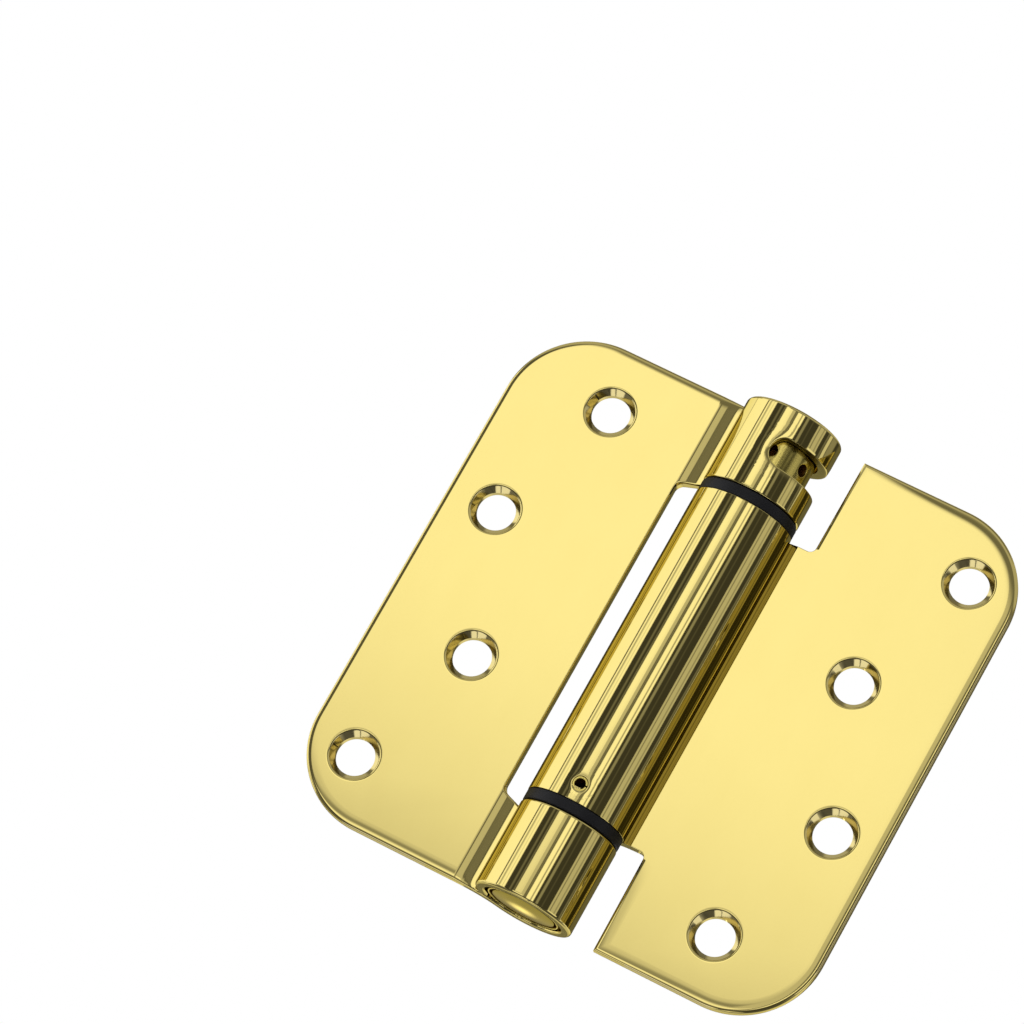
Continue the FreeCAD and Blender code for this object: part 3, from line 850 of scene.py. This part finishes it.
def drilledSector(bm, radius, low, high):
    # one flat sixth with its hole is cut into columns, set on the round and repeated
    b = collar
    half = radius * math.sin(math.pi / b["count"])
    square = ((-half, low), (half, low), (half, high), (-half, high))
    corners = [bm.verts.new((x, 0, z)) for x, z in square]
    borders = [bm.edges.new(pair) for pair in zip(corners, corners[1:] + corners[:1])]
    steps = [share * b["holeRound"] for share in b["mouthRings"]]
    rings = ringAround(bm, disc(0, b["holeZ"], b["holeSteps"]), b["hole"], steps)
    borders += closedEdges(rings[-1])
    filled(bm, borders)
    deep = cornersOf(bmesh.ops.extrude_edge_only(bm, edges=closedEdges(rings[0])))
    bmesh.ops.translate(bm, vec=(0, b["holeDepth"], 0), verts=deep)
    bmesh.ops.contextual_create(bm, geom=deep)
    outwards(bm)
    columns = turned["steps"] // b["count"]
    for step in range(1, columns):
        place = radius * math.sin(math.tau / turned["steps"] * (step - columns / 2))
        outside = [face for face in bm.faces if abs(face.calc_center_median().y) < b["skin"]]
        bmesh.ops.bisect_plane(bm, geom=withCorners(outside), dist=same, plane_co=(place, 0, 0),
                               plane_no=(1, 0, 0))
    for vert in bm.verts:
        x, depth, z = vert.co
        gap = math.hypot(x, z - b["holeZ"]) - b["hole"]
        surface = math.sqrt(radius ** 2 - x ** 2) - roundDrop(gap, b["holeRound"])
        vert.co = Vector((x, -(radius - depth if depth > b["skin"] else surface), z))
    rotated(bm, aboutZ(facing + math.pi / 2), bm.verts)
    bmesh.ops.spin(bm, geom=everything(bm), cent=(0, 0, 0), axis=(0, 0, 1),
                   angle=math.tau * (1 - 1 / b["count"]), steps=b["count"] - 1,
                   use_duplicate=True)


def makeCollar():
    b = collar
    body, top = collarHigh.x, collarHigh.z
    start, shoulder = upperHigh.z + endPlay, sleeveLow.z - endPlay
    across = b["hexFlats"] / math.sqrt(3)
    socket = top - b["hexDepth"]
    bm = bmesh.new()
    drilledSector(bm, body, start + b["edge"], shoulder - b["edge"])
    spun(bm, [(0, collarLow.z, 0), (b["nose"], collarLow.z, b["noseEdge"]),
              (b["nose"], b["journalEnd"], 0), (b["journal"], b["journalEnd"], b["journalEdge"]),
              (b["journal"], start, 0), (body, start, b["edge"]), (body, start + b["edge"], 0)])
    spun(bm, [(body, shoulder - b["edge"], 0), (body, shoulder, b["edge"]),
              (b["head"], shoulder, 0), (b["head"], top - b["dome"], b["headEdge"]),
              *domed(b["head"], top, b["dome"])[:b["domeKept"]],
              (across + b["hexLead"], top - b["hexLip"], 0),
              (across, top - b["hexLip"] - b["hexLead"], 0), (across, socket, 0), (0, socket, 0)])
    for vert in bm.verts:
        away = math.hypot(vert.co.x, vert.co.y)
        inside = b["hexRoom"] <= away <= across + b["hexReach"]
        if not inside or vert.co.z < socket - b["hexRoom"]:
            continue
        turn = math.atan2(vert.co.y, vert.co.x) - facing
        wrapped = turn % (math.pi / 3) - math.pi / 6
        scale = b["hexFlats"] / 2 / math.cos(wrapped) / across
        vert.co.x *= scale
        vert.co.y *= scale
    closeUp(bm)
    finishPiece(bm, "tensionCollarTurned", "collar", collarBrass,
                ["tension_collar"])


def makePlug():
    b = collar
    body, end, inner = plugHigh.x, plugLow.z, plugHigh.z
    dome = [(r, -z, size) for r, z, size in domed(b["head"], -end, b["dome"])]
    start, shoulder = lowerLow.z - endPlay, -(sleeveLow.z - endPlay)
    bm = bmesh.new()
    spun(bm, [(0, end, 0), *reversed(dome), (b["head"], end + b["dome"], b["headEdge"]),
              (b["head"], shoulder, 0), (body, shoulder, b["edge"]), (body, start, b["edge"]),
              (plug["journal"], start, 0), (plug["journal"], inner, plug["journalEdge"]),
              (0, inner, 0)])
    closeUp(bm)
    finishPiece(bm, "pivotPlugTurned", "jamb", shadedTurnedBrass, ["pivot_plug"])


def makeSleeve(name, node):
    low, high = boxMm(node)
    outer, inner = high.x, high.x - sleeve["wall"]
    corners = ((inner, low.z), (outer, low.z), (outer, high.z), (inner, high.z))
    bm = bmesh.new()
    spun(bm, [(r, z, sleeve["edge"]) for r, z in corners], True)
    closeUp(bm)
    finishPiece(bm, name, "jamb", shadedTurnedBrass, [node])


def makeBearing(name, node, side, end):
    b = bearing
    bore, tube = b[end + "Bore"], b[end + "Sleeve"]
    low, high = boxMm(node)
    outside, inside = (high.z, low.z) if side > 0 else (low.z, high.z)
    seat = outside - side * b["flange"]
    bm = bmesh.new()
    spun(bm, [(bore, outside, b["boreEdge"]), (high.x, outside, b["edge"]),
              (high.x, seat, b["edge"]), (tube, seat, b["seatEdge"]),
              (tube, inside, b["tubeEdge"]), (bore, inside, b["boreEdge"])], True)
    closeUp(bm)
    finishPiece(bm, name, "door", blackNylon, [node])


def makePin():
    b = pin
    bore, radius, length = b["bore"], b["radius"], b["length"]
    gap = b["slit"] / ((radius + bore) / 2)
    corners = ((bore, 0), (radius, 0), (radius, length), (bore, length))
    bm = bmesh.new()
    spun(bm, [(r, z, b["edge"]) for r, z in corners], True, b["steps"], math.tau - gap)
    bmesh.ops.holes_fill(bm, edges=[e for e in bm.edges if len(e.link_faces) == 1], sides=0)
    outwards(bm)
    # the slit is brought round to face the door leaf, and the pin laid to point out of the barrel
    level = aboutZ(math.pi / 2 - facing + gap / 2)
    outward = aboutZ(facing) @ Matrix.Rotation(math.pi / 2, 3, "Y")
    rotated(bm, outward @ level, bm.verts)
    start = barrelRadius - b["sunk"] - length
    place = (start * math.cos(facing), start * math.sin(facing), doorBlank["pinZ"])
    bmesh.ops.translate(bm, vec=place, verts=bm.verts)
    finishPiece(bm, "anchorPinRolled", "door", pinBrass, ["anchor_pin"])


crossPlace = ((0.0, 0.0, doorBlank["pinZ"] * mm), (0.0, math.pi / 2, facing))
# painted shade in the collar's drilled holes and socket, in the grooves beside the turned heads and
# in the pin's bore
shadedDrillings = (collarHigh.x - collar["darkSkin"], collar["darkLow"], collar["darkHigh"])
shadedSocket = (collar["socketRadius"], collar["socketLow"], collarHigh.z - collar["socketSkin"])
groove = sleeveHigh.x - sleeve["wall"] + sleeve["groove"]      # between sleeve and turned head
shadedGrooves = [(groove, plugLow.z + sleeve["grooveSkin"], -sleeveLow.z),
           (groove, sleeveLow.z, collarHigh.z - sleeve["grooveSkin"])]
shadedPinBore = (pin["bore"] + pin["darkEdge"], 0.0, pin["darkEnd"])
collarBrass = turnedMaterial("collarBrass", [shadedDrillings, shadedSocket], "open")
shadedTurnedBrass = turnedMaterial("shadedTurnedBrass", shadedGrooves, "head")
pinBrass = turnedMaterial("pinBrass", [shadedPinBore], "open", crossPlace)
blackNylon = markedMaterial("blackNylon", nylonFinish, mouldGrain)
makeCollar()
makePlug()
makeSleeve("upperSleeveTurned", "upper_sleeve")
makeSleeve("lowerSleeveTurned", "lower_sleeve")
makeBearing("upperBearingMoulded", "upper_bearing", 1, "upper")
makeBearing("lowerBearingMoulded", "lower_bearing", -1, "lower")
makePin()
print("turned parts made")

# painted shade inside the anchor's hole round the pin
shadedAnchorBore = (pin["radius"] + pin["room"], pin["darkEnd"], crossPlace)
anchorSteel = markedMaterial("turnedSteel", steelFinish, latheRings, shadedAnchorBore)
springSteel = markedMaterial("oiledSpringSteel", springFinish, mouldGrain)
for name, material in (("torsion_spring", springSteel), ("spring_anchor", anchorSteel)):
    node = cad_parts[name]
    node.data.materials.clear()
    node.data.materials.append(material)
print("inner parts coloured")


# Studio

studio = {"aim": (-34.16, -12.07, 9.97), "azimuth": 15.312, "elevation": -14.739, "roll": 29.871,
          "distance": 1035.1, "lens": 205.97, "sensor": 36, "near": 0.05, "far": 20}


def makeCamera():
    a = math.radians(studio["azimuth"])
    e = math.radians(studio["elevation"])
    back = Vector((math.sin(a) * math.cos(e), -math.cos(a) * math.cos(e), math.sin(e)))
    data = bpy.data.cameras.new("photoCamera")
    camera = bpy.data.objects.new("photoCamera", data)
    bpy.context.scene.collection.objects.link(camera)
    data.lens = studio["lens"]
    data.sensor_width = studio["sensor"]
    data.clip_start, data.clip_end = studio["near"], studio["far"]
    camera.rotation_mode = "QUATERNION"
    level = (-back).to_track_quat("-Z", "Y")
    camera.rotation_quaternion = level @ aboutZ(math.radians(studio["roll"])).to_quaternion()
    camera.location = (Vector(studio["aim"]) + back * studio["distance"]) * mm
    bpy.context.scene.camera = camera


# Panels round the hinge: middle azimuth, width, softness, strength.
# Degrees round the pin, 0 at +X, -90 in front
panels = [
    (-163.85, 56.3, 2.6, 1.0), (-122.2, 4.0, 3.5, 0.11), (-113.8, 3.0, 2.5, 0.1),
    (-93.0, 8.0, 2.0, 0.48), (-86.3, 4.0, 2.0, 0.13), (-74.6, 16.4, 2.2, 1.0),
    (-57.8, 5.4, 2.6, 0.21), (-44.5, 3.0, 2.0, 0.03), (-18.0, 22.6, 1.6, 0.43),
    (5.2, 4.5, 2.5, 0.1), (14.0, 9.0, 3.0, 0.55), (30.0, 20.0, 7.0, 0.2),
    (82.0, 54.0, 14.0, 0.085), (145.0, 44.0, 8.0, 0.1), (150.0, 34.0, 6.0, 0.9),
]
# Dark joints between the panels, in the same terms; strength is how much they take away
joints = [
    (-157.6, 3.3, 1.4, 0.92), (-150.3, 4.0, 2.4, 0.6), (-146.9, 2.2, 2.0, 0.1),
    (-141.8, 2.8, 2.0, 0.22), (-72.3, 3.1, 1.8, 0.64), (-23.8, 2.6, 1.8, 0.62),
    (-12.4, 3.4, 2.2, 0.42),
]
# Panels low behind the hinge, seen in the backs of the leaves
backPanels = [(54.0, 62.0, 14.0, 0.7), (155.0, 50.0, 14.0, 0.6)]
# Patches low beside the hinge, seen in the screw holes: azimuth, width, lowest, highest, strength
lowPatches = [(172.0, 46.0, -36.0, -22.0, 0.85), (-16.0, 26.0, -18.0, 6.0, 0.75)]
patchEdge = {"rise": 1, "soft": 4.0}
white = (1, 1, 1, 1)
# A lamp below and in front of the hinge, with a dark joint across it
nadirLamp = {"start": -61.0, "full": -66.0, "strength": 0.8, "joint": -72.0, "jointWidth": 14.0,
             "jointSoft": 8.0, "backEdge": -0.05, "backFull": -0.1}
# The panel that the faces of the leaves mirror, with the one below it
plateLight = {"middle": -103.05, "width": 15.3, "soft": 2.0, "low": 9.3, "high": 14.3,
              "floor": 0.58, "sideStart": -103.0, "sideEnd": -97.0, "side": 0.93, "gapLow": 4.0,
              "gapHigh": 9.0, "gap": 0.4, "underTop": 3.5, "underFull": -2.0, "under": 0.95,
              "underWiden": 1.6, "underSoften": 2}
# The room over and under the panels
dome = {"dark": 0.042, "start": 20.0, "end": 25.2, "lean": 3.0, "leanMiddle": -104.1,
        "room": 0.11, "over": 0.36, "overLow": 25.5, "overHigh": 60.0, "overSoft": 7.0,
        "groundStart": -10.0, "groundEnd": -34.0, "ground": 0.1, "backTop": 2.0, "backSoft": 6.0,
        "below": 0.5, "paleMiddle": 96.0, "paleWidth": 92.0, "paleSoft": 12.0, "paleFull": -12.0,
        "paleFront": -0.25, "paleBack": 0.05, "tarnish": 0.55, "bounces": 2}
# A lamp low behind, taller than wide, that the bottom end mirrors as a round spot
lowLamp = {"azimuth": 103.3, "rise": -11.4, "wide": 1.7, "high": 5.2, "strength": 2.2}


def awayFrom(tree, degrees, middle):
    away = mathNode(tree, "SUBTRACT", degrees, middle)
    return mathNode(tree, "ABSOLUTE", mathNode(tree, "WRAP", away, 180, -180))


def stripNode(tree, degrees, middle, width, soft, strength):
    away = awayFrom(tree, degrees, middle)
    return fadeNode(tree, away, width / 2 + soft / 2, width / 2 - soft / 2, 0, strength)


def mostNode(tree, first, *others):
    for other in others:
        first = mathNode(tree, "MAXIMUM", first, other)
    return first


def makeWorld():
    world = bpy.data.worlds.new("studio")
    bpy.context.scene.world = world
    world.use_nodes = True
    tree = world.node_tree
    tree.nodes.clear()
    toward = splitNode(tree, newNode(tree, "TexCoord").outputs["Generated"])
    degrees = timesNode(tree, mathNode(tree, "ARCTAN2", toward["Y"], toward["X"]), 180 / math.pi)
    rise = timesNode(tree, mathNode(tree, "ARCSINE", toward["Z"]), 180 / math.pi)

    def byRise(*fade):
        return fadeNode(tree, rise, *fade)

    def strip(*panel):
        return stripNode(tree, degrees, *panel)

    p = plateLight
    plate = timesNode(tree, strip(p["middle"], p["width"], p["soft"], 1),
                      byRise(p["low"], p["high"], p["floor"], 1),
                      byRise(p["gapLow"], p["gapHigh"], p["gap"], 1),
                      fadeNode(tree, degrees, p["sideStart"], p["sideEnd"], 1, p["side"]))
    under = strip(p["middle"], p["width"] * p["underWiden"], p["soft"] * p["underSoften"],
                  p["under"])
    under = timesNode(tree, under, byRise(p["underTop"], p["underFull"]))
    total = mostNode(tree, plate, under, *(strip(*panel) for panel in panels))
    for joint in joints:
        left = mathNode(tree, "SUBTRACT", 1, strip(*joint))
        total = timesNode(tree, total, left)
    d = dome
    low = byRise(d["backTop"] + d["backSoft"], d["backTop"] - d["backSoft"])
    for panel in backPanels:
        total = mostNode(tree, total, timesNode(tree, strip(*panel), low))

    # the panels end overhead, where the room is dim but for a broad soft lamp, and at the ground
    over = byRise(d["overLow"], d["overLow"] + d["overSoft"], d["room"], d["over"])
    past = byRise(d["overHigh"], d["overHigh"] + d["overSoft"])
    over = mixValue(tree, past, over, d["room"])
    lean = mathNode(tree, "SUBTRACT", degrees, d["leanMiddle"])
    lean = mostNode(tree, mathNode(tree, "MINIMUM", lean, d["lean"]), -d["lean"])
    line = mathNode(tree, "ADD", rise, lean)
    total = mixValue(tree, fadeNode(tree, line, d["start"], d["end"]), total, over)
    total = timesNode(tree, total, byRise(d["groundStart"], d["groundEnd"], 1, d["ground"]))

    # pale ground behind, patches and lamps outshine what is there
    pale = strip(d["paleMiddle"], d["paleWidth"], d["paleSoft"], d["below"])
    pale = timesNode(tree, pale, fadeNode(tree, toward["Y"], d["paleFront"], d["paleBack"]),
                     byRise(0, d["paleFull"]))
    total = mostNode(tree, total, pale)
    edge = patchEdge["rise"]
    for azimuth, width, lowest, highest, strength in lowPatches:
        band = strip(azimuth, width, patchEdge["soft"], strength)
        band = timesNode(tree, band, byRise(lowest - edge, lowest + edge),
                         byRise(highest + edge, highest - edge))
        total = mostNode(tree, total, band)
    n = nadirLamp
    gap = strip(n["joint"], n["jointWidth"], n["jointSoft"], n["strength"])
    nadir = timesNode(tree, mathNode(tree, "SUBTRACT", n["strength"], gap),
                      byRise(n["start"], n["full"]),
                      fadeNode(tree, toward["Y"], n["backEdge"], n["backFull"]))
    b = lowLamp
    across = mathNode(tree, "DIVIDE", awayFrom(tree, degrees, b["azimuth"]), b["wide"])
    up = mathNode(tree, "DIVIDE", mathNode(tree, "SUBTRACT", rise, b["rise"]), b["high"])
    lamp = fadeNode(tree, axisDistance(tree, {"X": across, "Y": up}), 1, 0, 0, b["strength"])
    total = mathNode(tree, "ADD", mostNode(tree, total, nadir, lamp), d["dark"])

    # light that has met the brass more than twice has lost some each time
    path = newNode(tree, "LightPath").outputs
    again = mostNode(tree, mathNode(tree, "SUBTRACT", path["Ray Depth"], d["bounces"]), 0)
    total = timesNode(tree, total, mathNode(tree, "POWER", d["tarnish"], again))

    light = newNode(tree, "Background", Color=white, Strength=total)
    backdrop = newNode(tree, "Background", Color=white)
    showMixed(tree, "OutputWorld", path["Is Camera Ray"], light, backdrop)


def showMixed(tree, output, share, first, second):
    mix = newNode(tree, "MixShader")
    feed(tree, mix.inputs, share, first.outputs[0], second.outputs[0])
    newNode(tree, output, Surface=mix.outputs[0])


floor = {"size": 0.9, "below": 0.0008, "pale": 0.96, "shade": 0.62, "reach": 0.045, "fade": 0.42,
         "deepest": 0.3, "samples": 8}


def makeFloor():
    # a pale ground that only shows from above, with a soft shade where the hinge stands
    bm = bmesh.new()
    bmesh.ops.create_grid(bm, x_segments=1, y_segments=1, size=floor["size"] / 2)
    material = bpy.data.materials.new("paleGround")
    ground = newObject(bm, "floor", material)
    ground.location.z = cadLow.z - floor["below"]
    material.use_nodes = True
    tree = material.node_tree
    tree.nodes.clear()
    near = newNode(tree, "AmbientOcclusion", Distance=floor["reach"])
    near.samples = floor["samples"]
    shade = fadeNode(tree, near.outputs["AO"], floor["deepest"], 1, floor["shade"], floor["pale"])
    glow = newNode(tree, "Emission", Color=white, Strength=shade)
    place = splitNode(tree, newNode(tree, "TexCoord").outputs["Object"])
    edge = fadeNode(tree, axisDistance(tree, place), floor["fade"], floor["fade"] / 2)
    side = mathNode(tree, "SUBTRACT", 1, newNode(tree, "NewGeometry").outputs["Backfacing"])
    seen = timesNode(tree, newNode(tree, "LightPath").outputs["Is Camera Ray"], side, edge)
    showMixed(tree, "OutputMaterial", seen, newNode(tree, "BsdfTransparent"), glow)


makeCamera()
makeWorld()
makeFloor()
print("studio lit")
bpy.context.scene.view_settings.view_transform = "Standard"
